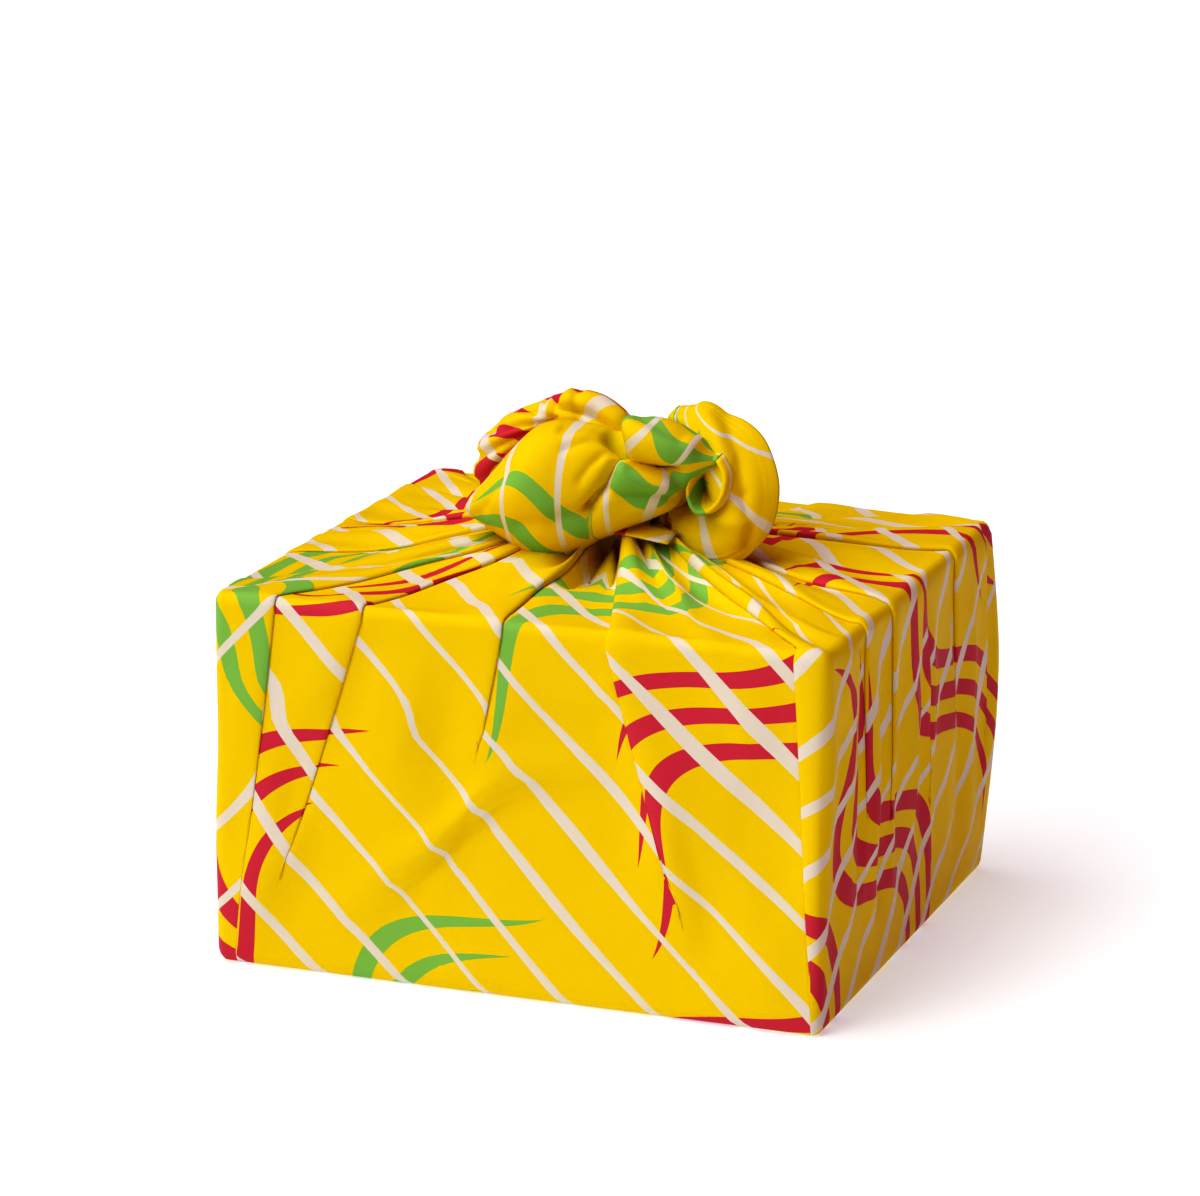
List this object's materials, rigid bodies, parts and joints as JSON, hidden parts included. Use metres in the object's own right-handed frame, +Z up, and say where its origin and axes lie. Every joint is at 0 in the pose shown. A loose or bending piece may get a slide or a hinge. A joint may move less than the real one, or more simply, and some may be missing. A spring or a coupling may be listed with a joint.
{
  "type": "furoshiki wrap on a gift box",
  "caption": "Square cloth wrapped round a gift box and tied on top in a square knot with puffed ears; pleats fan out from the knot and run down the walls.",
  "frame": {"origin": "middle of the flat foot, on the surface that the wrap stands on", "axes": "+X to the right along the front, +Y to the back, +Z up through the knot"},
  "size_m": [0.2071, 0.1903, 0.1707],
  "materials": {
    "cotton_sateen": "printed cotton sateen, softly lustrous",
    "cardboard": "plain uncoated cardboard"
  },
  "bodies": {
    "root": {"furoshiki_cloth": "cotton_sateen", "gift_box": "cardboard"}
  },
  "joints": []
}
